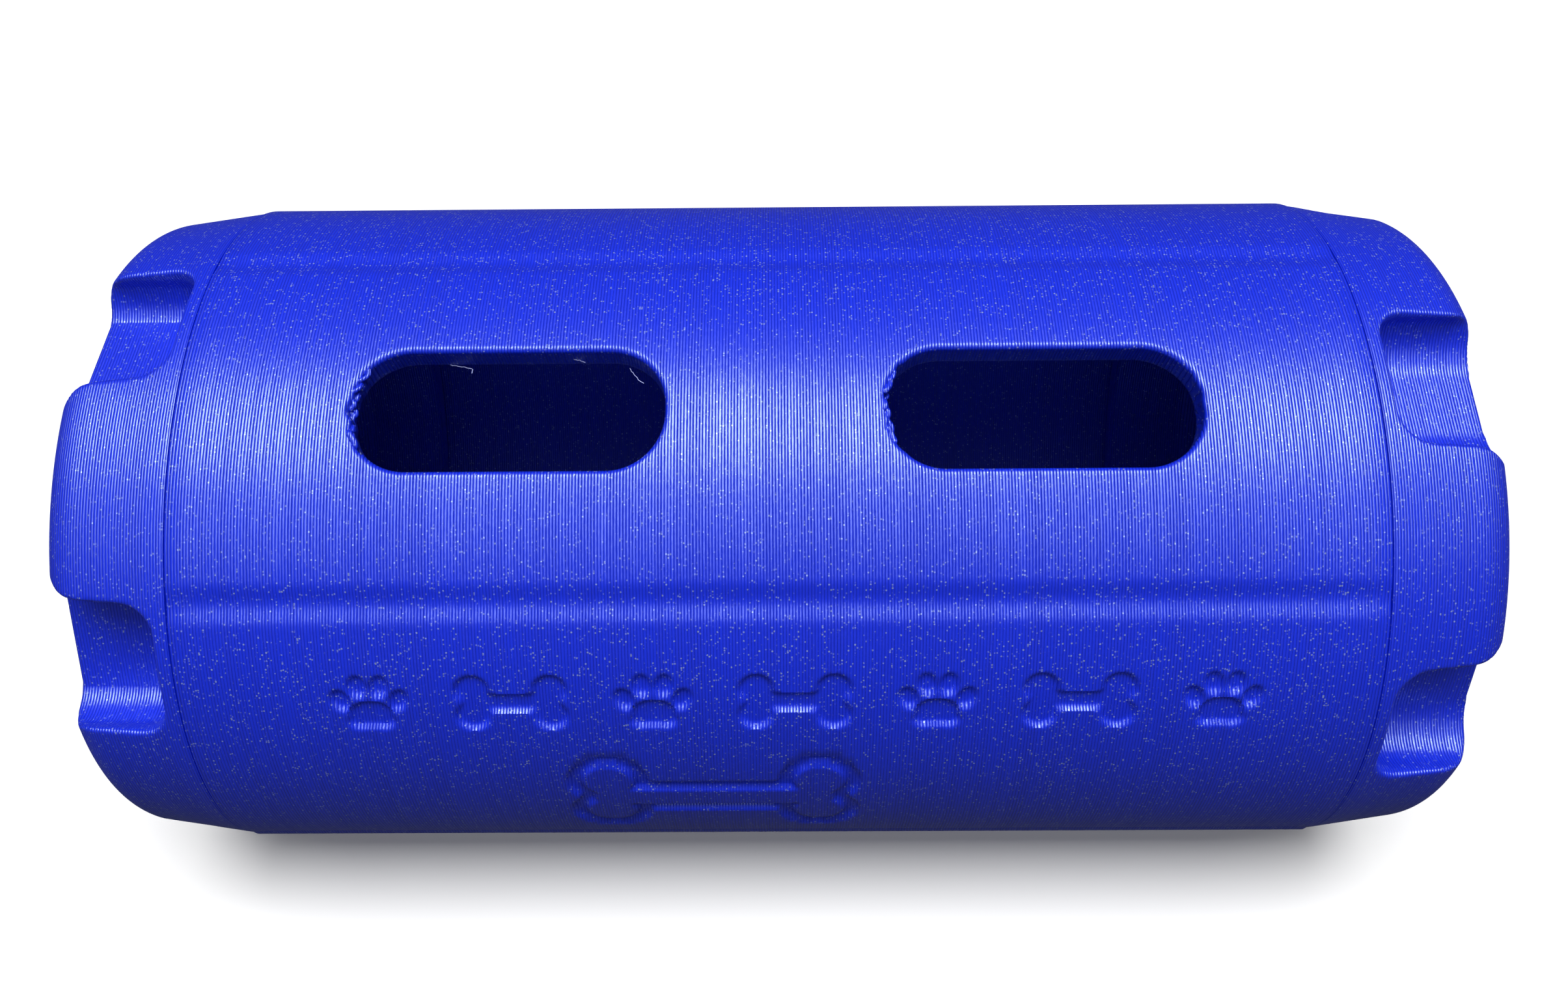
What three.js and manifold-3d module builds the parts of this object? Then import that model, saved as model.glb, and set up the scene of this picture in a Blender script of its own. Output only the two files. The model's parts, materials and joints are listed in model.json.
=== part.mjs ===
// Treat-dispensing tumbler: a printed tube with two kibble slots, closed at each
// end by a screw cap with six finger notches.
// Millimetres, +Z up. X runs along the tube, and the front of the tube faces -Y.
// The tumbler lies on its side, on the two shoulders of its lowest groove, and
// the origin is under its middle, on the surface it lies on.
import * as THREE from 'three';
import { mergeVertices } from 'three/addons/utils/BufferGeometryUtils.js';
import Module from 'manifold-3d';

// ---- driving dimensions -------------------------------------------------
const TUBE_LENGTH = 107.5;
const TUBE_RADIUS = 33.5;
const BORE_RADIUS = 30.2;

const GROOVE_COUNT = 6;
const GROOVE_DEPTH = 0.5;
const GROOVE_HALF_DEG = 3.5;        // half the groove's width, as an angle
const GROOVE_FLOOR_HALF_DEG = 1.0;

const SLOT_LENGTH = 28.3;
const SLOT_HEIGHT = 11.3;
const SLOT_OFFSET = 24.0;           // slot centre from the middle of the tube
const SLOT_PANEL_DEG = 60;          // direction of the slotted panel

const CAP_LENGTH = 12.5;            // from the tube's end to the cap's flat face
const CAP_GAP = 0.35;               // shadow gap between tube and cap
const CAP_RIM_RADIUS = 33.3;
const CAP_TAPER_END = 8.6;
const CAP_TAPER_RADIUS = 32.15;
const CAP_FILLET = 4.6;
const CAP_CAVITY_RADIUS = 22.9;
const END_WALL = 3.0;

const SKIRT_LENGTH = 11.5;
const SKIRT_RADIUS = 28.4;          // at the root of its thread
const SKIRT_BORE_RADIUS = 25.2;

const NOTCH_COUNT = 6;
const NOTCH_START = 1.7;            // clear strip between the tube and a notch
const NOTCH_HALF_WIDTH = 6.7;
const NOTCH_CORNER = 3.0;
const NOTCH_FLOOR_RADIUS = 25.9;
const LEFT_NOTCH_DEG = 77.5;        // direction of one notch on each cap
const RIGHT_NOTCH_DEG = 64.8;

const DISC_RADIUS = 18.0;
const DISC_GAP = 0.3;
const DISC_CHAMFER = 0.4;

const THREAD_PITCH = 4.5;           // right-handed, rounded section
const THREAD_RADIUS = 1.25;
const THREAD_STEPS_PER_TURN = 36;
const THREAD_SIDES = 8;
const TUBE_THREAD_FROM = 1.9;       // distances from the tube's end to the
const TUBE_THREAD_TO = 9.6;         // thread's centre line
const CAP_THREAD_FROM = 2.2;
const CAP_THREAD_TO = 9.8;

const ROUND_SEGMENTS = 60;
const LIFT = TUBE_RADIUS * Math.cos(GROOVE_HALF_DEG * Math.PI / 180);

const DEG = Math.PI / 180;
const wasm = await Module();
wasm.setup();

// ---- helpers ------------------------------------------------------------
// A direction is an angle in the YZ plane: 0 is -Y (front) and 90 is +Z (up).
const yz = (r, deg) => [-r * Math.cos(deg * DEG), r * Math.sin(deg * DEG)];

function solid(geometry) {
  const g = geometry.clone();
  g.deleteAttribute('normal');
  g.deleteAttribute('uv');
  const m = mergeVertices(g, 1e-4);
  const p = m.attributes.position.array;
  const src = m.index.array;
  const tri = [];
  let volume = 0;
  for (let i = 0; i < src.length; i += 3) {
    const [a, b, c] = [src[i], src[i + 1], src[i + 2]];
    if (a === b || b === c || a === c) continue;
    tri.push(a, b, c);
    const [ax, ay, az] = [p[3 * a], p[3 * a + 1], p[3 * a + 2]];
    const [bx, by, bz] = [p[3 * b], p[3 * b + 1], p[3 * b + 2]];
    const [cx, cy, cz] = [p[3 * c], p[3 * c + 1], p[3 * c + 2]];
    volume += ax * (by * cz - bz * cy) - ay * (bx * cz - bz * cx) + az * (bx * cy - by * cx);
  }
  if (volume < 0) {
    for (let i = 0; i < tri.length; i += 3) [tri[i + 1], tri[i + 2]] = [tri[i + 2], tri[i + 1]];
  }
  return new wasm.Manifold(new wasm.Mesh({
    numProp: 3,
    vertProperties: Float32Array.from(p),
    triVerts: Uint32Array.from(tri),
  }));
}

function geometryOf(manifold) {
  const mesh = manifold.getMesh();
  const position = new Float32Array(mesh.numVert * 3);
  for (let i = 0; i < mesh.numVert; i++) {
    for (let k = 0; k < 3; k++) position[3 * i + k] = mesh.vertProperties[i * mesh.numProp + k];
  }
  const g = new THREE.BufferGeometry();
  g.setAttribute('position', new THREE.BufferAttribute(position, 3));
  g.setIndex(new THREE.BufferAttribute(Uint32Array.from(mesh.triVerts), 1));
  g.computeVertexNormals();
  return g;
}

// Section drawn in (Y, Z), pushed along X from x0 to x1.
function alongX(shape, x0, x1) {
  const g = new THREE.ExtrudeGeometry(shape, { depth: x1 - x0, bevelEnabled: false, curveSegments: 12 });
  g.applyMatrix4(new THREE.Matrix4().makeBasis(
    new THREE.Vector3(0, 1, 0), new THREE.Vector3(0, 0, 1), new THREE.Vector3(1, 0, 0)));
  g.translate(x0, 0, 0);
  return g;
}

// Outline drawn in (X, sideways), pushed outwards from r0 to r1 in a direction.
function outwards(shape, r0, r1, deg) {
  const g = new THREE.ExtrudeGeometry(shape, { depth: r1 - r0, bevelEnabled: false, curveSegments: 5 });
  g.translate(0, 0, r0);
  const [ny, nz] = yz(1, deg);
  const out = new THREE.Vector3(0, ny, nz);
  const along = new THREE.Vector3(1, 0, 0);
  const side = new THREE.Vector3().crossVectors(out, along);
  g.applyMatrix4(new THREE.Matrix4().makeBasis(along, side, out));
  return g;
}

// Closed profile of [radius, x] points, turned around the X axis.
function turned(points, segments = ROUND_SEGMENTS) {
  const g = new THREE.LatheGeometry(points.map(([r, x]) => new THREE.Vector2(r, x)), segments, Math.PI / segments);
  const p = g.attributes.position.array;
  const last = 3 * segments * points.length;
  for (let i = 0; i < 3 * points.length; i++) p[last + i] = p[i];   // the last column is the first
  g.rotateZ(-Math.PI / 2);
  return g;
}

function roundedRect(x0, x1, halfWidth, radius) {
  const s = new THREE.Shape();
  s.moveTo(x0 + radius, -halfWidth);
  s.lineTo(x1 - radius, -halfWidth);
  s.absarc(x1 - radius, -halfWidth + radius, radius, -Math.PI / 2, 0, false);
  s.lineTo(x1, halfWidth - radius);
  s.absarc(x1 - radius, halfWidth - radius, radius, 0, Math.PI / 2, false);
  s.lineTo(x0 + radius, halfWidth);
  s.absarc(x0 + radius, halfWidth - radius, radius, Math.PI / 2, Math.PI, false);
  s.lineTo(x0, -halfWidth + radius);
  s.absarc(x0 + radius, -halfWidth + radius, radius, Math.PI, 1.5 * Math.PI, false);
  return s;
}

// Right-handed helix around X: it passes through x = 0 at angle `phase`.
class Helix extends THREE.Curve {
  constructor(radius, x0, x1, phase) {
    super();
    Object.assign(this, { radius, x0, x1, phase });
  }
  getPoint(t, target = new THREE.Vector3()) {
    const x = this.x0 + (this.x1 - this.x0) * t;
    const a = this.phase + 2 * Math.PI * x / THREAD_PITCH;
    return target.set(x, this.radius * Math.cos(a), this.radius * Math.sin(a));
  }
}

function thread(radius, x0, x1, phase) {
  const ring = [];
  for (let i = 0; i < THREAD_SIDES; i++) {
    const a = 2 * Math.PI * i / THREAD_SIDES;
    ring.push(new THREE.Vector2(THREAD_RADIUS * Math.cos(a), THREAD_RADIUS * Math.sin(a)));
  }
  const section = new THREE.Shape(ring);
  const steps = Math.round(Math.abs(x1 - x0) / THREAD_PITCH * THREAD_STEPS_PER_TURN);
  return new THREE.ExtrudeGeometry(section, {
    steps, bevelEnabled: false, extrudePath: new Helix(radius, x0, x1, phase),
  });
}

// ---- tube ---------------------------------------------------------------
function tubeSection() {
  const points = [];
  for (let k = 0; k < GROOVE_COUNT; k++) {
    const c = SLOT_PANEL_DEG + 180 / GROOVE_COUNT + 360 / GROOVE_COUNT * k;
    points.push([TUBE_RADIUS, c - GROOVE_HALF_DEG]);
    points.push([TUBE_RADIUS - GROOVE_DEPTH, c - GROOVE_FLOOR_HALF_DEG]);
    points.push([TUBE_RADIUS - GROOVE_DEPTH, c + GROOVE_FLOOR_HALF_DEG]);
    points.push([TUBE_RADIUS, c + GROOVE_HALF_DEG]);
    const span = 360 / GROOVE_COUNT - 2 * GROOVE_HALF_DEG;
    const parts = 10;
    for (let i = 1; i < parts; i++) points.push([TUBE_RADIUS, c + GROOVE_HALF_DEG + span * i / parts]);
  }
  const shape = new THREE.Shape(points.map(([r, d]) => new THREE.Vector2(...yz(r, d))));
  const bore = [];
  for (let i = 0; i < ROUND_SEGMENTS; i++) bore.push(new THREE.Vector2(...yz(BORE_RADIUS, -360 * i / ROUND_SEGMENTS)));
  shape.holes.push(new THREE.Path(bore));
  return shape;
}

const half = TUBE_LENGTH / 2;
let tube = solid(alongX(tubeSection(), -half, half));
for (const side of [-1, 1]) {
  const slot = roundedRect(side * SLOT_OFFSET - SLOT_LENGTH / 2, side * SLOT_OFFSET + SLOT_LENGTH / 2,
    SLOT_HEIGHT / 2, SLOT_HEIGHT / 2 - 0.35);
  tube = tube.subtract(solid(outwards(slot, 20, 40, SLOT_PANEL_DEG)));
}
// The tube's thread and the cap's are one helix, half a pitch apart.
const TUBE_PHASE = Math.PI;
const CAP_PHASE = 0;
const shell = solid(turned([[BORE_RADIUS - 5, -half], [TUBE_RADIUS - 0.9, -half], [TUBE_RADIUS - 0.9, half],
  [BORE_RADIUS - 5, half], [BORE_RADIUS - 5, -half]]));
for (const side of [-1, 1]) {
  const a = side * (half - TUBE_THREAD_FROM);
  const b = side * (half - TUBE_THREAD_TO);
  const t = solid(thread(BORE_RADIUS, Math.min(a, b), Math.max(a, b), TUBE_PHASE));
  tube = tube.add(t.intersect(shell));
}

// ---- caps ---------------------------------------------------------------
function capProfile(side) {
  const at = (s) => side * (half + s);
  const p = [];
  p.push([SKIRT_BORE_RADIUS, at(-SKIRT_LENGTH)]);
  p.push([SKIRT_RADIUS - 0.6, at(-SKIRT_LENGTH)]);
  p.push([SKIRT_RADIUS, at(-SKIRT_LENGTH + 0.6)]);
  p.push([SKIRT_RADIUS, at(CAP_GAP)]);
  p.push([CAP_RIM_RADIUS - 0.2, at(CAP_GAP)]);
  p.push([CAP_RIM_RADIUS, at(CAP_GAP + 0.25)]);
  const slope = Math.atan2(CAP_RIM_RADIUS - CAP_TAPER_RADIUS, CAP_TAPER_END);
  const centreR = CAP_TAPER_RADIUS - CAP_FILLET * Math.cos(slope);
  const centreS = CAP_LENGTH - CAP_FILLET;
  for (let i = 0; i <= 4; i++) {
    const a = Math.PI / 2 - slope - (Math.PI / 2 - slope) * i / 4;
    p.push([centreR + CAP_FILLET * Math.sin(a), at(centreS + CAP_FILLET * Math.cos(a))]);
  }
  p.push([DISC_RADIUS + DISC_GAP, at(CAP_LENGTH)]);
  p.push([DISC_RADIUS + DISC_GAP, at(CAP_LENGTH - END_WALL)]);
  p.push([CAP_CAVITY_RADIUS, at(CAP_LENGTH - END_WALL)]);
  p.push([CAP_CAVITY_RADIUS, at(-0.5)]);
  p.push([SKIRT_BORE_RADIUS, at(-2.8)]);
  p.push(p[0]);
  return p;
}

function cap(side, notchDeg) {
  let body = solid(turned(capProfile(side)));
  const x = [side * (half + NOTCH_START), side * (half + CAP_LENGTH + 8)];
  const outline = roundedRect(Math.min(...x), Math.max(...x), NOTCH_HALF_WIDTH, NOTCH_CORNER);
  let cutters = null;
  for (let k = 0; k < NOTCH_COUNT; k++) {
    const c = solid(outwards(outline, 20, 40, notchDeg + 360 / NOTCH_COUNT * k));
    cutters = cutters ? cutters.add(c) : c;
  }
  const core = solid(turned([[0, -90], [NOTCH_FLOOR_RADIUS, -90], [NOTCH_FLOOR_RADIUS, 90], [0, 90]]));
  body = body.subtract(cutters.subtract(core));
  const a = side * (half - CAP_THREAD_FROM);
  const b = side * (half - CAP_THREAD_TO);
  return body.add(solid(thread(SKIRT_RADIUS, Math.min(a, b), Math.max(a, b), CAP_PHASE)));
}

function endDisc(side) {
  const at = (s) => side * (half + s);
  return solid(turned([
    [0, at(CAP_LENGTH - END_WALL)],
    [DISC_RADIUS, at(CAP_LENGTH - END_WALL)],
    [DISC_RADIUS, at(CAP_LENGTH - DISC_CHAMFER)],
    [DISC_RADIUS - DISC_CHAMFER, at(CAP_LENGTH)],
    [0, at(CAP_LENGTH)],
  ]));
}

// ---- assembly -----------------------------------------------------------
const printedBlue = { color: 0x2231b4, roughness: 0.38, metalness: 0.0 };
const tumbler = new THREE.Group();
function add(name, manifold) {
  const mesh = new THREE.Mesh(geometryOf(manifold), new THREE.MeshStandardMaterial(printedBlue));
  mesh.name = name;
  mesh.position.z = LIFT;
  tumbler.add(mesh);
}
add('body_tube', tube);
add('left_cap', cap(-1, LEFT_NOTCH_DEG));
add('right_cap', cap(1, RIGHT_NOTCH_DEG));
add('left_end_disc', endDisc(-1));
add('right_end_disc', endDisc(1));

export default tumbler;
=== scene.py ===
import json
import math
import random
import bpy
import numpy as np
from mathutils import Matrix, Vector


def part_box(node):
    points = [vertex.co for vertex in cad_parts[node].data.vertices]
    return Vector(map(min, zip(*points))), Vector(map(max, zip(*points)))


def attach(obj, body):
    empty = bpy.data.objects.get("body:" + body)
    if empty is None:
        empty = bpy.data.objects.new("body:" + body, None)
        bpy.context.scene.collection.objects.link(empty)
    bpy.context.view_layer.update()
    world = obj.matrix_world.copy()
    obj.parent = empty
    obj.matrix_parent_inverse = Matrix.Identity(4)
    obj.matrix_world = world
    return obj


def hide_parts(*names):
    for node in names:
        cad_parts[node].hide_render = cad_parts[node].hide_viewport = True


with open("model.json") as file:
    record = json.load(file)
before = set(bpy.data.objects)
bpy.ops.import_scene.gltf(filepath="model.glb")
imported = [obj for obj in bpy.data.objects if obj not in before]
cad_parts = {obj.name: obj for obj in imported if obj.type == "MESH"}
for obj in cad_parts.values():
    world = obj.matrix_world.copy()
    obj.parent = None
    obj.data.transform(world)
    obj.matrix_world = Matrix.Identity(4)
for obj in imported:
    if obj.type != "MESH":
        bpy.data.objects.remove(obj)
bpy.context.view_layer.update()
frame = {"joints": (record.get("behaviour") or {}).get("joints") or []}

MM = 0.001

# ---- the object's own dimensions, in millimetres, as in the CAD ----------
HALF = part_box("body_tube")[1].x / MM             # half the tube's length
LIFT = frame["joints"][1]["pos_m"][2] / MM       # height of the tube's axis
R_OUT = 33.492
R_BORE = 30.2
GROOVE_DEPTH = 0.34
GROOVE_HALF = 3.5
GROOVES = [30 + 60 * k for k in range(6)]
SLOT_DEG = 60.0
SLOT_X = 24.0
SLOT_A, SLOT_B, SLOT_C = 14.15, 5.65, 5.3        # half length, half height, corner
LAYER = 2 * HALF / 383.7                         # one printed layer
CAP_GAP, CAP_END = 0.16, 12.5
NOTCH = {"left": 78.2, "right": 65.6}
PITCH = 4.5
THREAD_R = 1.25
COL = bpy.context.scene.collection


def rad(d):
    return np.radians(d)


def at(r, deg):
    """Y and Z of a point at a radius and a direction: 0 is the front, 90 is up."""
    a = rad(deg)
    return -r * np.cos(a), r * np.sin(a) + LIFT


def smooth(t):
    t = np.clip(t, 0, 1)
    return t * t * (3 - 2 * t)


# ---- mesh helpers --------------------------------------------------------
class Sheet:
    """Collects vertices and faces, in millimetres."""

    def __init__(self):
        self.v, self.f, self.n = [], [], 0

    def points(self, xyz):
        xyz = np.asarray(xyz, float).reshape(-1, 3)
        start = self.n
        self.v.append(xyz)
        self.n += len(xyz)
        return np.arange(start, self.n)

    def grid(self, idx, wrap=False, flip=False):
        """Quads over a 2-D array of vertex numbers; wrap closes the second direction."""
        a = idx
        b = np.roll(a, -1, axis=1) if wrap else a[:, 1:]
        a = a if wrap else a[:, :-1]
        q = np.stack([a[:-1], a[1:], b[1:], b[:-1]], -1).reshape(-1, 4)
        self.f += (q[:, ::-1] if flip else q).tolist()

    def zip(self, a, ka, b, kb, flip=False):
        """Triangles between two rows of vertices, each with rising keys."""
        i = j = 0
        while i < len(a) - 1 or j < len(b) - 1:
            if j == len(b) - 1 or (i < len(a) - 1 and ka[i + 1] <= kb[j + 1]):
                t = (a[i], a[i + 1], b[j])
                i += 1
            else:
                t = (a[i], b[j + 1], b[j])
                j += 1
            self.f.append(list(t[::-1] if flip else t))

    def build(self, name, normals=None, weld=0.0005, sharp=None, outward=True):
        v = np.concatenate(self.v)
        key = np.round(v / weld).astype(np.int64)
        _, first, inv = np.unique(key, axis=0, return_index=True, return_inverse=True)
        inv = inv.reshape(-1)
        faces = []
        for face in self.f:
            g = [int(inv[i]) for i in face]
            out = [g[k] for k in range(len(g)) if g[k] != g[k - 1]]
            if len(set(out)) == len(out) and len(out) > 2:
                faces.append(out)
        me = bpy.data.meshes.new(name)
        me.from_pydata((v[first] * MM).tolist(), [], faces)
        me.validate()
        me.polygons.foreach_set("use_smooth", [True] * len(me.polygons))
        if sharp:
            me.set_sharp_from_angle(angle=math.radians(sharp))
        if normals is not None:
            me.normals_split_custom_set_from_vertices(normals[first].tolist())
        me.update()
        o = bpy.data.objects.new(name, me)
        COL.objects.link(o)
        return o


def face_outward(o):
    """Turns a closed mesh's faces outward."""
    import bmesh
    bm = bmesh.new()
    bm.from_mesh(o.data)
    bmesh.ops.recalc_face_normals(bm, faces=bm.faces)
    if bm.calc_volume(signed=True) < 0:
        bmesh.ops.reverse_faces(bm, faces=bm.faces)
    open_edges = sum(1 for e in bm.edges if len(e.link_faces) != 2)
    bm.to_mesh(o.data)
    bm.free()
    o.data.polygons.foreach_set("use_smooth", [True] * len(o.data.polygons))
    print("mesh", o.name, len(o.data.vertices), "verts", len(o.data.polygons), "faces", open_edges, "open edges")


# ---- engraved ornament: bones and paw prints -----------------------------
def seg(px, py, ax, ay, bx, by):
    dx, dy = bx - ax, by - ay
    t = np.clip(((px - ax) * dx + (py - ay) * dy) / (dx * dx + dy * dy), 0, 1)
    return np.hypot(px - ax - t * dx, py - ay - t * dy)


def bone(x, y, cx, cy, length, knob, shaft, tilt=0.0):
    c, s = math.cos(tilt), math.sin(tilt)
    u, v = (x - cx) * c + (y - cy) * s, -(x - cx) * s + (y - cy) * c
    h = length / 2 - knob
    d = seg(u, v, -h, 0, h, 0) - shaft
    k = knob * 0.92
    for sx in (-1, 1):
        for sy in (-1, 1):
            e = np.hypot(u - sx * h, v - sy * k) - knob
            m = np.clip(0.5 + 0.5 * (d - e) / 0.5, 0, 1)
            d = d * (1 - m) + e * m - 0.5 * m * (1 - m)
    return d


def ellipse(x, y, cx, cy, rx, ry, tilt=0.0):
    c, s = math.cos(tilt), math.sin(tilt)
    u, v = (x - cx) * c + (y - cy) * s, -(x - cx) * s + (y - cy) * c
    k = np.hypot(u / rx, v / ry)
    return (k - 1) * min(rx, ry)


def paw(x, y, cx, cy, size):
    u, v = (x - cx) / size, (y - cy) / size
    d = ellipse(u, v, 0, -0.42, 0.52, 0.40)
    d = np.minimum(d, ellipse(u, v, -0.30, -0.62, 0.26, 0.22))
    d = np.minimum(d, ellipse(u, v, 0.30, -0.62, 0.26, 0.22))
    for tx, ty, a in ((-0.72, 0.02, 0.35), (-0.27, 0.42, 0.12), (0.27, 0.42, -0.12), (0.72, 0.02, -0.35)):
        d = np.minimum(d, ellipse(u, v, tx, ty, 0.20, 0.29, a))
    return d * size


ROW_V = R_OUT * math.radians(13.2)
LOW_V = R_OUT * math.radians(-9.6)
STROKE = 0.62


def engraving(x, v):
    """Depth of the ornament at x along the tube and v around it, in millimetres."""
    d = np.full(np.broadcast(x, v).shape, 9.0)
    xs = np.linspace(-36.6, 39.8, 7)
    for i, cx in enumerate(xs):
        if i % 2 == 0:
            d = np.minimum(d, paw(x, v, cx, ROW_V + 0.3, 3.6) - 0.02)
        else:
            d = np.minimum(d, bone(x, v, cx, ROW_V, 10.0, 1.5, 0.9))
    d = np.minimum(d, np.abs(bone(x, v, -6.0, LOW_V, 26.0, 3.1, 2.1)) - STROKE)
    return 0.5 * smooth(0.5 - d / 0.42)


# ---- tube ----------------------------------------------------------------
def groove(deg):
    d = np.zeros_like(deg, float)
    for c in GROOVES:
        t = (deg - c + 180) % 360 - 180
        inside = np.abs(t) < GROOVE_HALF
        d += np.where(inside, GROOVE_DEPTH * (0.5 + 0.5 * np.cos(np.pi * t / GROOVE_HALF)), 0)
    return d


def spaced(a, b, step):
    n = max(1, int(round(abs(b - a) / step)))
    return np.linspace(a, b, n + 1)[:-1]


def end_arc(f, a=SLOT_A, b=SLOT_B, c=SLOT_C):
    """Point and outward normal on the slot's round end, f from 0 at (a-c, b) to 1 at (a-c, -b)."""
    quarter, flat = math.pi * c / 2, 2 * (b - c)
    total = 2 * quarter + flat
    s = f * total
    if s <= quarter:
        t = math.pi / 2 - s / c
        return (a - c + c * math.cos(t), b - c + c * math.sin(t)), (math.cos(t), math.sin(t))
    if s <= quarter + flat:
        return (a, b - c - (s - quarter)), (1.0, 0.0)
    t = -(s - quarter - flat) / c
    return (a - c + c * math.cos(t), -(b - c) + c * math.sin(t)), (math.cos(t), math.sin(t))


def make_tube():
    sh = Sheet()
    # x lines: fine round the slots, coarse elsewhere
    x0 = [-HALF, -HALF + 0.12]
    xs = np.concatenate([x0, spaced(-HALF + 2.0, -41.0, 2.5), spaced(-41.0, -7.0, 0.68), spaced(-7.0, 7.0, 2.0),
                         spaced(7.0, 41.0, 0.68), spaced(41.0, HALF - 2.0, 2.5), [HALF - 2.0, HALF - 0.12, HALF]])
    # directions: fine in the grooves and beside the slots
    def lines(lo, hi, step, groove_step):
        out, a = [], lo
        for c in GROOVES:
            g0, g1 = c - GROOVE_HALF - 0.4, c + GROOVE_HALF + 0.4
            if g1 <= lo or g0 >= hi:
                continue
            out.append(spaced(a, g0, step))
            out.append(spaced(g0, g1, groove_step))
            a = g1
        out.append(spaced(a, hi, step))
        return np.concatenate(out)
    outer = np.concatenate([lines(26.0, 45.0, 2.2, 0.65), spaced(45, 75, 1.0), lines(75.0, 334.0, 2.6, 0.65), [334.0]])
    inner = np.concatenate([spaced(26, 45, 4.0), spaced(45, 75, 1.0), spaced(75, 334, 5.0), [334.0]])
    lo_i, hi_i = [int(np.argmin(np.abs(xs - v))) for v in (-41.0, 41.0)], None

    def sheet_rows(dirs, radius):
        """Vertex numbers [x, direction] of a full round sheet section."""
        X, D = np.meshgrid(xs, dirs, indexing="ij")
        r = radius(X, D)
        y, z = at(r, D)
        return sh.points(np.stack([X, y, z], -1)).reshape(X.shape)

    def outer_r(X, D):
        edge = np.clip((0.12 - (HALF - np.abs(X))) / 0.12, 0, 1)
        return R_OUT - groove(D) * (0.4 + 0.6 * smooth((HALF - np.abs(X)) / 0.8)) - 0.10 * edge
    og = sheet_rows(outer, outer_r)
    ig = sheet_rows(inner, lambda X, D: np.full_like(X, R_BORE))

    # leave the slots' rectangles out of both sheets
    def holed(idx, dirs, flip):
        j0, j1 = int(np.argmin(np.abs(dirs - 45))), int(np.argmin(np.abs(dirs - 75)))
        sh.grid(idx[:, : j0 + 1], flip=flip)
        sh.grid(idx[:, j1:], flip=flip)
        cuts = []
        for side in (-1, 1):
            a, b = sorted((side * 41.0, side * 7.0))
            cuts.append((int(np.argmin(np.abs(xs - a))), int(np.argmin(np.abs(xs - b)))))
        i = 0
        for a, b in cuts:
            sh.grid(idx[i : a + 1, j0 : j1 + 1], flip=flip)
            i = b
        sh.grid(idx[i:, j0 : j1 + 1], flip=flip)
        rings = []
        for a, b in cuts:
            top = idx[a : b + 1, j1]              # rising x on the upper side
            right = idx[b, j0 : j1 + 1][::-1][1:]
            bottom = idx[a : b + 1, j0][::-1][1:]
            left = idx[a, j0 : j1 + 1][1:-1]
            rings.append((np.concatenate([top, right, bottom, left]), xs[a], xs[b]))
        return rings
    outer_rings = holed(og, outer, False)
    inner_rings = holed(ig, inner, True)

    n = np.array([-math.cos(math.radians(SLOT_DEG)), math.sin(math.radians(SLOT_DEG))])
    t = np.array([math.sin(math.radians(SLOT_DEG)), math.cos(math.radians(SLOT_DEG))])
    allv = np.concatenate(sh.v)
    for which, ((ro, xa, xb), (ri, _, _)) in enumerate(zip(outer_rings, inner_rings)):
        xc = -SLOT_X if which == 0 else SLOT_X
        P = allv[ro]
        px = P[:, 0] - xc
        yz = P[:, 1:] - np.array([0, LIFT])
        pl = yz @ t
        N = len(ro)
        # match each point of the rectangle with one on the slot's outline
        out, nor = np.zeros((N, 2)), np.zeros((N, 2))
        straight = (np.abs(np.abs(pl) - np.abs(pl).max()) < 1e-3) & (np.abs(px) <= SLOT_A - SLOT_C)
        for k in np.where(straight)[0]:
            s = 1.0 if pl[k] > 0 else -1.0
            out[k] = (px[k], s * SLOT_B)
            nor[k] = (0, s)
        for side in (1, -1):
            k = [i for i in range(N) if not straight[i] and px[i] * side > 0]
            if side == 1:
                start = k[0]
            else:
                k = sorted(k)
                cut = [i for i in range(1, len(k)) if k[i] != k[i - 1] + 1]
                if cut:
                    k = k[cut[0]:] + k[: cut[0]]
            m = len(k)
            for q, i in enumerate(k):
                f = (q + 0.5) / m
                if side == 1:
                    (a, b), (c, d) = end_arc(f)
                    out[i], nor[i] = (a, b), (c, d)
                else:
                    (a, b), (c, d) = end_arc(f)
                    out[i], nor[i] = (-a, -b), (-c, -d)
        rng = np.random.default_rng(7 + which)
        # the ends printed last sag a little
        rough = np.zeros(N)
        for k in range(N):
            if out[k, 0] < -SLOT_A + 2.2:
                rough[k] = 1.0 - (out[k, 0] + SLOT_A) / 2.2
            elif which == 1 and out[k, 0] > SLOT_A - 1.0:
                rough[k] = 0.45 * (1.0 - (SLOT_A - out[k, 0]) / 1.0)
        jag = np.convolve(np.concatenate([rng.normal(0, 1, N + 4)]), [0.25, 0.5, 0.25], "same")[2 : N + 2] * 0.3 * rough

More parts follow.
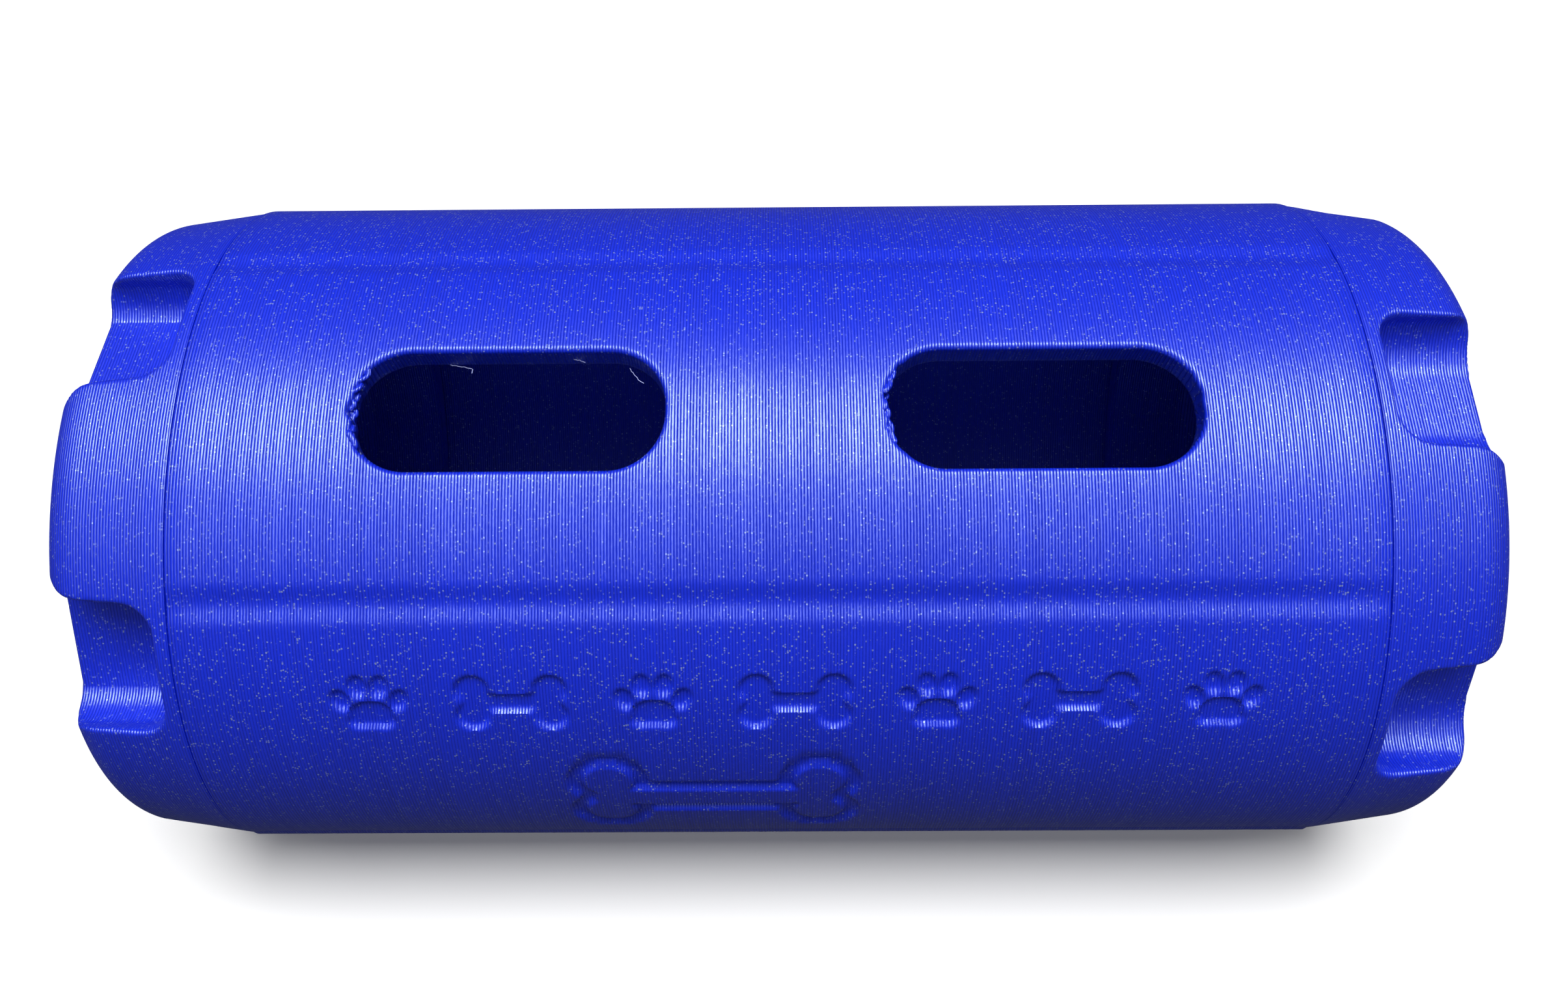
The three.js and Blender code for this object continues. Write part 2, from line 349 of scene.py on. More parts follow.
        def place(loc, H):
            yy = H * n[0] + loc[:, 1] * t[0]
            zz = H * n[1] + loc[:, 1] * t[1] + LIFT
            return sh.points(np.stack([loc[:, 0] + xc, yy, zz], -1))
        rho, rho_in = 0.6, 0.3
        rect = np.stack([px, pl], -1)
        rows = [ro]
        e0 = out + nor * rho
        for f in (0.22, 0.44, 0.64, 0.82, 0.93, 1.0):
            loc = rect * (1 - f) + e0 * f
            rows.append(place(loc, np.sqrt(R_OUT ** 2 - loc[:, 1] ** 2)))
        for a in np.linspace(0, 90, 8)[1:]:
            e = rho * (1 - math.sin(math.radians(a)))
            dep = rho * (1 - math.cos(math.radians(a)))
            loc = out + nor * (e + (jag * math.sin(math.radians(a)))[:, None])
            rows.append(place(loc, np.sqrt(R_OUT ** 2 - (out + nor * e)[:, 1] ** 2) - dep))
        top = np.sqrt(R_OUT ** 2 - out[:, 1] ** 2) - rho
        low = np.sqrt(R_BORE ** 2 - out[:, 1] ** 2) + rho_in
        for w in (0.2, 0.4, 0.6, 0.8, 1.0):
            j2 = jag * (1 - 0.5 * w) + rough * 0.10 * np.sin(w * 9 + np.arange(N) * 1.7)
            loc = out + nor * j2[:, None]
            rows.append(place(loc, top * (1 - w) + low * w))
        for a in (30, 60, 90):
            e = rho_in * (1 - math.cos(math.radians(a)))
            dep = rho_in * math.sin(math.radians(a))
            loc = out + nor * e
            rows.append(place(loc, low - dep))
        P2 = allv[ri]
        pl2 = (P2[:, 1:] - np.array([0, LIFT])) @ t
        rect2 = np.stack([P2[:, 0] - xc, pl2], -1)
        e1 = out + nor * rho_in
        for f in (0.75, 0.5, 0.25):
            loc = rect2 * (1 - f) + e1 * f
            rows.append(place(loc, np.sqrt(R_BORE ** 2 - loc[:, 1] ** 2)))
        rows.append(ri)
        sh.grid(np.array(rows), wrap=True, flip=True)

    # the engraved panel, fine where the ornament is
    fx = np.concatenate([[-HALF, -HALF + 0.12], spaced(-HALF + 2.0, -42.0, 2.5), spaced(-42.0, 45.5, 0.25),
                         spaced(45.5, HALF - 2.0, 2.5), [HALF - 2.0, HALF - 0.12, HALF]])
    fd = np.concatenate([spaced(-26, -18.5, 1.5), spaced(-18.5, -1.0, 0.42), spaced(-1.0, 5.5, 1.6),
                         spaced(5.5, 21.0, 0.42), spaced(21.0, 26.0, 1.6), [26.0]])
    X, D = np.meshgrid(fx, fd, indexing="ij")
    r = outer_r(X, D) - engraving(X, R_OUT * rad(D))
    y, z = at(r, D)
    pg = sh.points(np.stack([X, y, z], -1)).reshape(X.shape)
    sh.grid(pg)
    sh.zip(pg[:, -1], fx, og[:, 0], xs)
    sh.zip(og[:, -1], xs, pg[:, 0], fx)
    bd = np.concatenate([spaced(-26, 26, 4.0), [26.0]])
    X, D = np.meshgrid(xs, bd, indexing="ij")
    y, z = at(np.full_like(X, R_BORE), D)
    bg = sh.points(np.stack([X, y, z], -1)).reshape(X.shape)
    sh.grid(bg, flip=True)
    # end faces
    for e in (0, -1):
        ring_o = np.concatenate([pg[e], og[e][1:]])
        key_o = np.concatenate([fd, outer[1:]])
        ring_i = np.concatenate([bg[e], ig[e][1:]])
        key_i = np.concatenate([bd, inner[1:]])
        sh.zip(ring_o, key_o, ring_i, key_i, flip=(e == 0))
    o = sh.build("tube_shell")
    face_outward(o)
    o.data.set_sharp_from_angle(angle=math.radians(48))
    return o


# ---- caps, from a distance field on a grid in cylinder coordinates --------
def polygon_distance(s, r, poly):
    """Signed distance to a closed outline, negative inside."""
    P = np.stack([s, r], -1)
    d2 = np.full(s.shape, 1e9)
    inside = np.zeros(s.shape, bool)
    q = poly
    for i in range(len(q)):
        a, b = q[i], q[(i + 1) % len(q)]
        e = b - a
        w = P - a
        h = np.clip((w @ e) / (e @ e), 0, 1)
        g = w - h[..., None] * e
        d2 = np.minimum(d2, (g ** 2).sum(-1))
        c = ((a[1] > r) != (b[1] > r)) & (s < (b[0] - a[0]) * (r - a[1]) / (b[1] - a[1] + 1e-12) + a[0])
        inside ^= c
    d = np.sqrt(d2)
    return np.where(inside, -d, d)


def round_max(a, b, k):
    return np.minimum(np.maximum(a, b), -k) + np.hypot(np.maximum(a + k, 0), np.maximum(b + k, 0))


def cap_outline():
    rim, taper_s, taper_r, fil = 33.3, 8.6, 32.15, 4.6
    p = [(-11.5, 25.2), (-11.5, 27.8), (-10.9, 28.4), (CAP_GAP, 28.4), (CAP_GAP, rim - 0.14), (CAP_GAP + 0.14, rim)]
    slope = math.atan2(rim - taper_r, taper_s)
    cr, cs = taper_r - fil * math.cos(slope), CAP_END - fil
    for i in range(25):
        a = (math.pi / 2 - slope) * (1 - i / 24)
        p.append((cs + fil * math.cos(a), cr + fil * math.sin(a)))
    p += [(CAP_END, 18.05), (CAP_END - 3.0, 18.05), (CAP_END - 3.0, 21.4)]
    for i in range(1, 7):
        a = math.pi / 2 * i / 6
        p.append((CAP_END - 3.0 - 1.5 + 1.5 * math.cos(a), 21.4 + 1.5 * math.sin(a)))
    p += [(-0.5, 22.9), (-2.8, 25.2)]
    return np.array(p)


CAP_POLY = cap_outline()


def cap_field(s, th, r, side):
    """Distance to the cap's surface. th is measured from a notch's middle, in radians."""
    body = polygon_distance(s, r, CAP_POLY)
    sector = math.pi / 3
    d = (th + sector / 2) % sector - sector / 2
    lat, h = r * np.sin(d), r * np.cos(d)
    # the side walls lean out a little, then turn in to the flat floor in an arc that ends in a crease
    mid, rad, up = {"left": (3.9, 3.5, 28.95), "right": (2.6, 4.8, 30.60)}[side]
    arc = mid + np.sqrt(np.maximum(rad ** 2 - np.maximum(up - h, 0) ** 2, 0.04))
    half_w = arc - 0.85 * smooth((h - 28.6) / 3.0)
    # plan of a notch: a rounded rectangle open towards the cap's end
    ca, corner = 1.7, 3.0
    qx = (ca + corner) - s
    qy = np.abs(lat) - (half_w - corner)
    plan = np.hypot(np.maximum(qx, 0), np.maximum(qy, 0)) + np.minimum(np.maximum(qx, qy), 0) - corner
    pocket = np.maximum(plan, 25.85 - h)
    return round_max(body, -pocket, 0.45)


def surface_net(s, th, r, field, periodic=True):
    """Quads round the zero level of a field sampled on a grid; th closes on itself."""
    S, T, Rr = np.meshgrid(s, th, r, indexing="ij")
    F = field(S, T, Rr)
    T2 = np.concatenate([th, [th[0] + 2 * np.pi]])
    F = np.concatenate([F, F[:, :1]], axis=1)
    ns, nt, nr = F.shape
    neg = F < 0
    cs, ct, cr = ns - 1, nt - 1, nr - 1
    acc = np.zeros((cs, ct, cr, 3))
    cnt = np.zeros((cs, ct, cr))
    ax = (s, T2, r)
    for d in range(3):
        lo = [slice(None)] * 3
        hi = [slice(None)] * 3
        lo[d], hi[d] = slice(0, -1), slice(1, None)
        f0, f1 = F[tuple(lo)], F[tuple(hi)]
        cross = (f0 < 0) != (f1 < 0)
        w = np.where(cross, f0 / np.where(cross, f0 - f1, 1), 0)
        shape = f0.shape
        pos = []
        for k in range(3):
            v = ax[k]
            if k == d:
                step = np.diff(v)
                sh_ = [1, 1, 1]
                sh_[k] = -1
                pos.append(np.broadcast_to(v[:-1].reshape(sh_), shape) + w * np.broadcast_to(step.reshape(sh_), shape))
            else:
                sh_ = [1, 1, 1]
                sh_[k] = -1
                pos.append(np.broadcast_to(v.reshape(sh_), shape))
        pos = np.stack(pos, -1)
        others = [k for k in range(3) if k != d]
        for a in (0, 1):
            for b in (0, 1):
                sl = [slice(None)] * 3
                sl[others[0]] = slice(a, a + (cs, ct, cr)[others[0]])
                sl[others[1]] = slice(b, b + (cs, ct, cr)[others[1]])
                sl = tuple(sl)
                acc += np.where(cross[sl][..., None], pos[sl], 0)
                cnt += cross[sl]
    has = cnt > 0
    num = np.full((cs, ct, cr), -1)
    num[has] = np.arange(has.sum())
    verts = acc[has] / cnt[has][:, None]
    quads = []
    # an edge along r, s or th with a change of sign makes one quad
    def add(cross, flipmask, a, b, c, d):
        m = cross & (a >= 0) & (b >= 0) & (c >= 0) & (d >= 0)
        q = np.stack([a[m], b[m], c[m], d[m]], -1)
        fl = flipmask[m]
        q[fl] = q[fl][:, ::-1]
        quads.append(q)
    # along s: cells (i, j-1|j, k-1|k)
    e = (neg[:-1, :-1, 1:-1] != neg[1:, :-1, 1:-1])
    prev = np.roll(num, 1, axis=1)
    add(e, neg[1:, :-1, 1:-1] & e, num[:, :, :-1], num[:, :, 1:], prev[:, :, 1:], prev[:, :, :-1])
    # along r: cells (i-1|i, j-1|j, k)
    e = (neg[1:-1, :-1, :-1] != neg[1:-1, :-1, 1:])
    add(e, neg[1:-1, :-1, 1:] & e, num[:-1], prev[:-1], prev[1:], num[1:])
    # along th: cells (i-1|i, j, k-1|k)
    e = (neg[1:-1, :-1, 1:-1] != neg[1:-1, 1:, 1:-1])
    add(e, neg[1:-1, 1:, 1:-1] & e, num[:-1, :, :-1], num[1:, :, :-1], num[1:, :, 1:], num[:-1, :, 1:])
    return verts, np.concatenate(quads)


def make_cap(side):
    sgn = -1 if side == "left" else 1
    s = np.concatenate([[-12.1], spaced(-11.7, -0.6, 0.62), spaced(-0.6, 0.1, 0.35), spaced(0.1, 3.2, 0.2), spaced(3.2, 7.6, 0.42),
                        spaced(7.6, 12.9, 0.27), [12.9]])
    r = np.concatenate([[17.6], spaced(17.9, 24.6, 0.62), spaced(24.6, 28.0, 0.3), spaced(28.0, 33.7, 0.27), [33.7]])
    one = np.concatenate([spaced(-30, -16.6, 1.7), spaced(-16.6, -8.2, 0.5), spaced(-8.2, 8.2, 1.4), spaced(8.2, 16.6, 0.5),
                          spaced(16.6, 30, 1.7)])
    th = rad(np.concatenate([one + 60 * k for k in range(6)]))
    def field(a, b, c):
        return cap_field(a, b, c, side)
    v, q = surface_net(s, th, r, field)
    # settle the vertices on the exact surface
    def cart(v):
        return v[:, 0], v[:, 1], v[:, 2]
    h = 1e-3
    for _ in range(3):
        f = field(*cart(v))
        gs = (field(v[:, 0] + h, v[:, 1], v[:, 2]) - field(v[:, 0] - h, v[:, 1], v[:, 2])) / (2 * h)
        ht = h / v[:, 2]
        gt = (field(v[:, 0], v[:, 1] + ht, v[:, 2]) - field(v[:, 0], v[:, 1] - ht, v[:, 2])) / (2 * h)
        gr = (field(v[:, 0], v[:, 1], v[:, 2] + h) - field(v[:, 0], v[:, 1], v[:, 2] - h)) / (2 * h)
        g2 = np.maximum(gs ** 2 + gt ** 2 + gr ** 2, 0.25)
        m = np.clip(-f / g2, -0.2, 0.2) * 0.9
        v[:, 0] += m * gs
        v[:, 1] += m * gt / v[:, 2]
        v[:, 2] += m * gr
    ang = v[:, 1] + math.radians(NOTCH[side])
    x = sgn * (HALF + v[:, 0])
    y = -v[:, 2] * np.cos(ang)
    z = v[:, 2] * np.sin(ang) + LIFT
    sh = Sheet()
    sh.points(np.stack([x, y, z], -1))
    sh.f = q.tolist()
    o = sh.build(side + "_cap_shell", weld=0.002)
    face_outward(o)
    o.data.set_sharp_from_angle(angle=math.radians(50))
    return o


def lathe(name, pts, sgn, n=180, sharp=40):
    """Turns a profile of (s, r) about the axis; it starts and ends on the axis or closes."""
    sh = Sheet()
    a = np.linspace(0, 360, n, endpoint=False)
    rows = []
    for s, r in pts:
        y, z = at(np.full(n, max(r, 0.0)), a)
        rows.append(sh.points(np.stack([np.full(n, sgn * (HALF + s)), y, z], -1)))
    sh.grid(np.array(rows), wrap=True)
    o = sh.build(name)
    face_outward(o)
    o.data.set_sharp_from_angle(angle=math.radians(sharp))
    return o


def make_disc(side):
    sgn = -1 if side == "left" else 1
    R = 18.03
    pts = [(9.5, 0)] + [(9.5, r) for r in (3, 6, 9, 12, 15, 17.4)] + [(9.6, 17.8), (9.9, R), (12.2, R), (12.42, R - 0.06), (12.5, R - 0.2)]
    pts += [(12.5, r) for r in (15, 12, 9, 6, 3)] + [(12.5, 0)]
    return lathe(side + "_disc", pts, sgn)


def tube_along(sh, pts, radii, sides=8, cap_round=True):
    """A closed round bar along points, with its own radius at each, tapering shut at both ends."""
    pts = np.asarray(pts, float)
    n = len(pts)
    radii = np.broadcast_to(radii, n).astype(float)
    tan = np.gradient(pts, axis=0)
    tan /= np.linalg.norm(tan, axis=1)[:, None]
    up = np.array([0.0, 0.0, 1.0]) if abs(tan[0, 2]) < 0.8 else np.array([1.0, 0.0, 0.0])
    u = np.cross(tan[0], up)
    u /= np.linalg.norm(u)
    rows = []
    path, rr, tt = [pts[0] - tan[0] * radii[0] * 0.6], [radii[0] * 0.55], [tan[0]]
    for i in range(n):
        path.append(pts[i]); rr.append(radii[i]); tt.append(tan[i])
    path.append(pts[-1] + tan[-1] * radii[-1] * 0.6); rr.append(radii[-1] * 0.55); tt.append(tan[-1])
    for p, q, g in zip(path, rr, tt):
        u = u - g * (u @ g)
        u /= np.linalg.norm(u)
        w = np.cross(g, u)
        a = np.linspace(0, 2 * np.pi, sides, endpoint=False)
        rows.append(sh.points(p + q * (np.cos(a)[:, None] * u + np.sin(a)[:, None] * w)))
    sh.grid(np.array(rows), wrap=True)
    for row, p, flip in ((rows[0], path[0] - tt[0] * rr[0] * 0.4, False), (rows[-1], path[-1] + tt[-1] * rr[-1] * 0.4, True)):
        c = sh.points(p)[0]
        k = len(row)
        for i in range(k):
            f = [int(row[i]), int(row[(i + 1) % k]), int(c)]
            sh.f.append(f[::-1] if flip else f)


def make_thread(name, side, radius, d0, d1, phase):
    """The rounded screw ridge, from d0 to d1 inside the tube's end."""
    sgn = -1 if side == "left" else 1
    a, b = sorted((sgn * (HALF - d0), sgn * (HALF - d1)))
    n = int((b - a) / PITCH * 72)
    x = np.linspace(a, b, n)
    ang = phase + 2 * np.pi * x / PITCH
    t = np.linspace(0, 1, n)
    rr = THREAD_R * np.clip(np.minimum(t, 1 - t) / 0.06, 0.25, 1) ** 0.5
    sh = Sheet()
    # the helix is measured from +Y towards +Z
    tube_along(sh, np.stack([x, radius * np.cos(ang), radius * np.sin(ang) + LIFT], -1), rr, sides=14)
    o = sh.build(name)
    face_outward(o)
    return o


# ---- print defects at the slots' ends -------------------------------------
def on_slot(xc, px, lat, depth):
    """Point in a slot's frame: px along the tube, lat up the slot, depth below the outer surface."""
    n = np.array([-math.cos(math.radians(SLOT_DEG)), math.sin(math.radians(SLOT_DEG))])
    t = np.array([math.sin(math.radians(SLOT_DEG)), math.cos(math.radians(SLOT_DEG))])
    H = math.sqrt(R_OUT ** 2 - lat ** 2) - depth
    return np.array([xc + px, H * n[0] + lat * t[0], H * n[1] + lat * t[1] + LIFT])


def make_strands():
    rng = np.random.default_rng(11)
    sh = Sheet()
    # drooping strands across the left ends
    for xc, count in ((-SLOT_X, 11), (SLOT_X, 7)):
        for i in range(count):
            lat0 = 3.7 - 7.0 * (i + 0.5) / count + rng.normal(0, 0.15)
            span = rng.uniform(0.7, 1.5)
            sag = rng.uniform(0.12, 0.6) * (1.0 if xc < 0 else 0.7)
            dep = rng.uniform(0.25, 1.5)
            pts = []
            for u in np.linspace(0, 1, 9):
                lat = lat0 + span * (0.5 - u)
                edge = -SLOT_A + (SLOT_C - math.sqrt(max(SLOT_C ** 2 - max(abs(lat) - (SLOT_B - SLOT_C), 0) ** 2, 0.0)))
                pts.append(on_slot(xc, edge - 0.12 + sag * math.sin(math.pi * u), lat, dep + 0.15 * math.sin(3 * u + i)))
            tube_along(sh, pts, rng.uniform(0.22, 0.34), sides=8)
    o = sh.build("slot_strands")
    face_outward(o)
    return o


def make_hairs():
    rng = np.random.default_rng(5)
    sh = Sheet()
    xc = -SLOT_X
    hairs = [
        ([(-6.2, 5.65, 3.1), (-5.4, 5.5, 3.2), (-4.4, 5.3, 3.1), (-4.0, 5.1, 3.0), (-4.05, 4.65, 2.9)], 0.04),
        ([(5.2, 5.75, 1.9), (5.8, 5.6, 2.1), (6.5, 5.4, 2.2)], 0.035),
        ([(10.6, 4.9, 2.6), (11.0, 4.4, 2.8), (11.5, 3.8, 3.0), (11.9, 3.5, 3.0)], 0.03),
        ([(-14.0, -2.0, 0.9), (-13.6, -2.8, 1.2), (-13.0, -3.9, 1.4)], 0.035),
    ]
    for knots, rad_ in hairs:
        k = np.array([on_slot(xc, *p) for p in knots])
        s = np.linspace(0, len(k) - 1, 14)
        pts = np.stack([np.interp(s, np.arange(len(k)), k[:, j]) for j in range(3)], -1)
        pts[1:-1] += rng.normal(0, 0.03, pts[1:-1].shape)
        tube_along(sh, pts, rad_, sides=6)
    o = sh.build("stringing_hairs")
    face_outward(o)
    return o


# ---- materials -------------------------------------------------------------
def nodes_of(mat):
    mat.use_nodes = True
    nt = mat.node_tree
    nt.nodes.clear()
    return nt


def link(nt, a, b):
    nt.links.new(a, b)


def math_node(nt, op, a, b=None, clamp=False):
    n = nt.nodes.new("ShaderNodeMath")
    n.operation = op
    n.use_clamp = clamp
    for i, v in enumerate((a, b)):
        if v is None:
            continue
        if isinstance(v, (int, float)):
            n.inputs[i].default_value = v
        else:
            link(nt, v, n.inputs[i])
    return n.outputs[0]


def mix_color(nt, fac, a, b, mode="MIX"):
    n = nt.nodes.new("ShaderNodeMix")
    n.data_type = "RGBA"
    n.blend_type = mode
    for sock, v in ((n.inputs[0], fac), (n.inputs[6], a), (n.inputs[7], b)):
        if isinstance(v, (int, float)):
            sock.default_value = v
        elif isinstance(v, tuple):
            sock.default_value = v
        else:
            link(nt, v, sock)
    return n.outputs[2]


def ramp(nt, fac, stops):
    n = nt.nodes.new("ShaderNodeValToRGB")
    link(nt, fac, n.inputs[0])
    els = n.color_ramp.elements
    while len(els) < len(stops):
        els.new(0.5)
    for e, (p, v) in zip(els, stops):
        e.position = p
        e.color = (v, v, v, 1) if isinstance(v, (int, float)) else v
    return n.outputs[0]


def printed_blue(name, layers=True, inside=False):
    """Silky printed plastic: one bead per layer along X, with fine glitter."""
    mat = bpy.data.materials.new(name)
    nt = nodes_of(mat)
    out = nt.nodes.new("ShaderNodeOutputMaterial")
    bsdf = nt.nodes.new("ShaderNodeBsdfPrincipled")
    link(nt, bsdf.outputs[0], out.inputs[0])
    tc = nt.nodes.new("ShaderNodeTexCoord")
    obj = tc.outputs["Object"]
    sep = nt.nodes.new("ShaderNodeSeparateXYZ")
    link(nt, obj, sep.inputs[0])
    # a slow wobble keeps the beads from being ruler-straight
    wob = nt.nodes.new("ShaderNodeTexNoise")
    link(nt, obj, wob.inputs["Vector"])
    wob.inputs["Scale"].default_value = 60
    wob.inputs["Detail"].default_value = 1.0
    shift = math_node(nt, "MULTIPLY", math_node(nt, "SUBTRACT", wob.outputs["Fac"], 0.5), 0.35)
    t = math_node(nt, "ADD", math_node(nt, "MULTIPLY", sep.outputs["X"], 1.0 / (LAYER * MM)), shift)
    t = math_node(nt, "ADD", t, 2000.0)
    layer_no = math_node(nt, "FLOOR", t)
    fr = math_node(nt, "FRACT", t)
    c = math_node(nt, "SUBTRACT", math_node(nt, "MULTIPLY", fr, 2.0), 1.0)
    bead = math_node(nt, "SUBTRACT", 1.0, math_node(nt, "MULTIPLY", c, c))
    bead = math_node(nt, "POWER", bead, 0.6)
    white = nt.nodes.new("ShaderNodeTexWhiteNoise")
    white.noise_dimensions = "1D"
    link(nt, layer_no, white.inputs["W"])
    per_layer = white.outputs["Value"]
    # texture along each bead: tiny lumps of the extruded line
    lump = nt.nodes.new("ShaderNodeTexNoise")
    mp = nt.nodes.new("ShaderNodeMapping")
    link(nt, obj, mp.inputs["Vector"])
    mp.inputs["Scale"].default_value = (3.2, 1.0, 1.0)
    link(nt, mp.outputs[0], lump.inputs["Vector"])
    lump.inputs["Scale"].default_value = 1100
    lump.inputs["Detail"].default_value = 2.0
    # glitter: a few cells of a fine cell pattern
    vor = nt.nodes.new("ShaderNodeTexVoronoi")
    vor.feature = "F1"
    link(nt, obj, vor.inputs["Vector"])
    vor.inputs["Scale"].default_value = 5200
    sepc = nt.nodes.new("ShaderNodeSeparateColor")
    link(nt, vor.outputs["Color"], sepc.inputs[0])
    chosen = math_node(nt, "GREATER_THAN", sepc.outputs[0], 0.86)
    strength = math_node(nt, "MULTIPLY", chosen, math_node(nt, "POWER", sepc.outputs[1], 1.2))
    core = ramp(nt, math_node(nt, "MULTIPLY", vor.outputs["Distance"], 1.0), [(0.15, 1.0), (0.55, 0.0)])
    fleck = math_node(nt, "MULTIPLY", strength, core, clamp=True)
    # colour, with painted shade in the valleys between the beads
    big = nt.nodes.new("ShaderNodeTexNoise")
    link(nt, obj, big.inputs["Vector"])
    big.inputs["Scale"].default_value = 35
    big.inputs["Detail"].default_value = 3.0
    base = mix_color(nt, big.outputs["Fac"], (0.0025, 0.0180, 0.60, 1), (0.0040, 0.0230, 0.70, 1))
    base = mix_color(nt, math_node(nt, "MULTIPLY", per_layer, 0.22), base, (0.003, 0.011, 0.50, 1))
    # painted shade: the base colour is darkened in the valleys between the beads, where shade would fall
    valley_shade = ramp(nt, bead, [(0.0, 1.0), (0.55, 0.0)])
    base = mix_color(nt, math_node(nt, "MULTIPLY", valley_shade, 0.85), base, (0.002, 0.006, 0.24, 1))
    base = mix_color(nt, math_node(nt, "MULTIPLY", fleck, 0.95), base, (0.52, 0.66, 1.0, 1))
    link(nt, base, bsdf.inputs["Base Color"])
    # gloss
    rough = math_node(nt, "ADD", 0.27, math_node(nt, "MULTIPLY", per_layer, 0.07))
    rough = math_node(nt, "ADD", rough, math_node(nt, "MULTIPLY", lump.outputs["Fac"], 0.08))
    link(nt, rough, bsdf.inputs["Roughness"])
    link(nt, math_node(nt, "MULTIPLY", fleck, 0.7), bsdf.inputs["Metallic"])
    bsdf.inputs["IOR"].default_value = 1.6
    bsdf.inputs["Specular IOR Level"].default_value = 1.0
    bsdf.inputs["Specular Tint"].default_value = (0.80, 1.0, 1.0, 1)
    bsdf.inputs["Sheen Weight"].default_value = 0.0
    # relief
    height = math_node(nt, "MULTIPLY", bead, math_node(nt, "ADD", 0.75, math_node(nt, "MULTIPLY", per_layer, 0.5)))
    height = math_node(nt, "ADD", height, math_node(nt, "MULTIPLY", lump.outputs["Fac"], 0.5))
    height = math_node(nt, "ADD", height, math_node(nt, "MULTIPLY", math_node(nt, "MULTIPLY", sepc.outputs[2], chosen), 0.5))
    bump = nt.nodes.new("ShaderNodeBump")
    bump.inputs["Strength"].default_value = 1.0
    bump.inputs["Distance"].default_value = 0.000060
    link(nt, height, bump.inputs["Height"])
    link(nt, bump.outputs[0], bsdf.inputs["Normal"])
    return mat


blue = printed_blue("printed_blue")


def hair_material():
    mat = bpy.data.materials.new("stringing")
    nt = nodes_of(mat)
    out = nt.nodes.new("ShaderNodeOutputMaterial")
    bsdf = nt.nodes.new("ShaderNodeBsdfPrincipled")
    link(nt, bsdf.outputs[0], out.inputs[0])
    tc = nt.nodes.new("ShaderNodeTexCoord")
    no = nt.nodes.new("ShaderNodeTexNoise")
    link(nt, tc.outputs["Object"], no.inputs["Vector"])
    no.inputs["Scale"].default_value = 900
    c = mix_color(nt, no.outputs["Fac"], (0.30, 0.36, 0.85, 1), (0.62, 0.66, 0.95, 1))
    link(nt, c, bsdf.inputs["Base Color"])
    bsdf.inputs["Roughness"].default_value = 0.35
    return mat


stringing = hair_material()


def dress(o, mat, body, *nodes):
    o.data.materials.clear()
    o.data.materials.append(mat)
    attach(o, body)
    if nodes:
        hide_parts(*nodes)


tube = make_tube()
dress(tube, blue, "tube", "body_tube")
dress(make_strands(), blue, "tube")
dress(make_hairs(), stringing, "tube")
for side in ("left", "right"):
    dress(make_thread(side + "_tube_thread", side, R_BORE, 1.9, 9.6, math.pi), blue, "tube")
    dress(make_cap(side), blue, side + "_screw", side + "_cap")
    dress(make_thread(side + "_cap_thread", side, 28.4, 2.2, 9.8, 0.0), blue, side + "_screw")
    dress(make_disc(side), blue, side + "_travel", side + "_end_disc")

# ---- floor, light and camera -------------------------------------------------
def make_floor():
    sh = Sheet()
    g = np.linspace(-1500, 1500, 25)
    X, Y = np.meshgrid(g, g, indexing="ij")
    idx = sh.points(np.stack([X, Y, np.full_like(X, -0.02)], -1)).reshape(X.shape)
    sh.grid(idx)
    o = sh.build("floor")
    mat = bpy.data.materials.new("pale_floor")
    nt = nodes_of(mat)
    out = nt.nodes.new("ShaderNodeOutputMaterial")
    bsdf = nt.nodes.new("ShaderNodeBsdfPrincipled")
    link(nt, bsdf.outputs[0], out.inputs[0])
    tc = nt.nodes.new("ShaderNodeTexCoord")
    no = nt.nodes.new("ShaderNodeTexNoise")
    link(nt, tc.outputs["Object"], no.inputs["Vector"])
    no.inputs["Scale"].default_value = 12
    c = mix_color(nt, no.outputs["Fac"], (0.93, 0.93, 0.93, 1), (0.97, 0.97, 0.97, 1))
    link(nt, c, bsdf.inputs["Base Color"])
    bsdf.inputs["Roughness"].default_value = 0.9
    bsdf.inputs["Specular IOR Level"].default_value = 0.1
    o.data.materials.append(mat)
    # its bounce and its reflection are left out, as in a studio with a dark table edge
    o.visible_diffuse = False
    o.visible_glossy = False
    return o


make_floor()

E = math.radians(43.6)                   # the camera's height above the horizon, seen from the tube's axis
LTUBE = 2 * HALF
F_PX, CX, DIST = 2255.65, 0.00093, 1.51386
YAW, PITCH_, ROLL = 0.00868, 0.10378, 0.00614
SHIFT_U, SHIFT_V = -31.78, -203.19


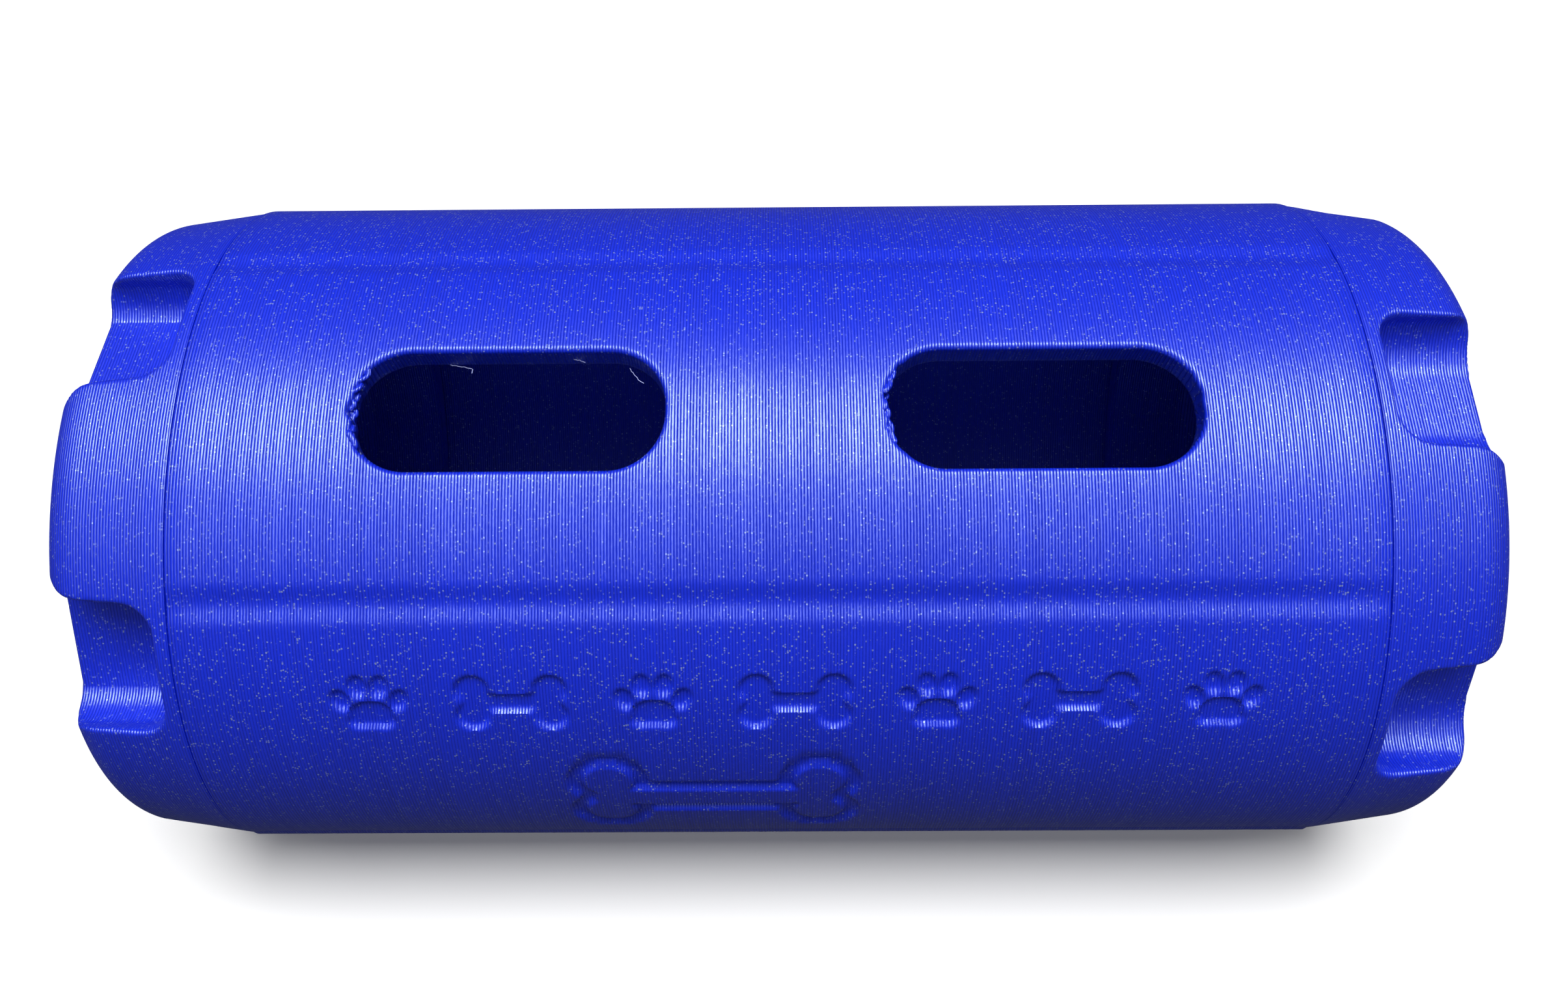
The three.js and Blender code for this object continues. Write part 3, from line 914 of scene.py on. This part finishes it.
def camera():
    def rx(a):
        return np.array([[1, 0, 0], [0, math.cos(a), -math.sin(a)], [0, math.sin(a), math.cos(a)]])
    def ry(a):
        return np.array([[math.cos(a), 0, math.sin(a)], [0, 1, 0], [-math.sin(a), 0, math.cos(a)]])
    def rz(a):
        return np.array([[math.cos(a), -math.sin(a), 0], [math.sin(a), math.cos(a), 0], [0, 0, 1]])
    M = rz(YAW) @ rx(PITCH_) @ ry(ROLL)
    B = rx(-E)                           # front frame to the row frame
    C = B @ np.array([CX * LTUBE, -DIST * LTUBE, 0.0]) + np.array([0, 0, LIFT])
    A = B @ M
    right, fwd, up = A[:, 0], A[:, 1], A[:, 2]
    cam = bpy.data.cameras.new("camera")
    cam.sensor_width = 36
    cam.lens = F_PX / 2409 * 36
    cam.shift_x = -SHIFT_U / 2409
    cam.shift_y = SHIFT_V / 2409
    cam.clip_start, cam.clip_end = 0.005, 20
    o = bpy.data.objects.new("camera", cam)
    COL.objects.link(o)
    m = Matrix.Identity(4)
    for i in range(3):
        m[i][0], m[i][1], m[i][2], m[i][3] = right[i], up[i], -fwd[i], C[i] * MM
    o.matrix_world = m
    bpy.context.scene.camera = o


camera()


def area(name, loc, target, size, size_y, power, color=(1, 1, 1)):
    d = bpy.data.lights.new(name, "AREA")
    d.shape = "RECTANGLE"
    d.size, d.size_y = size, size_y
    d.energy = power
    d.color = color
    o = bpy.data.objects.new(name, d)
    COL.objects.link(o)
    o.location = loc
    o.rotation_mode = "QUATERNION"
    o.rotation_quaternion = (Vector(target) - Vector(loc)).to_track_quat("-Z", "Y")
    return o


def polar(dist, deg, x=0.0):
    a = math.radians(deg)
    return (x, -dist * math.cos(a), dist * math.sin(a) + LIFT * MM)


centre = (0, 0, LIFT * MM)
area("key", polar(2.0, 73), centre, 1.8, 1.1, 61)
area("fill", polar(2.0, 40), centre, 1.4, 0.9, 9)
world = bpy.data.worlds.new("studio")
bpy.context.scene.world = world
world.use_nodes = True
world.node_tree.nodes["Background"].inputs[0].default_value = (1, 1, 1, 1)
world.node_tree.nodes["Background"].inputs[1].default_value = 0.07
bpy.context.scene.view_settings.view_transform = "Standard"
bpy.context.scene.view_settings.look = "None"
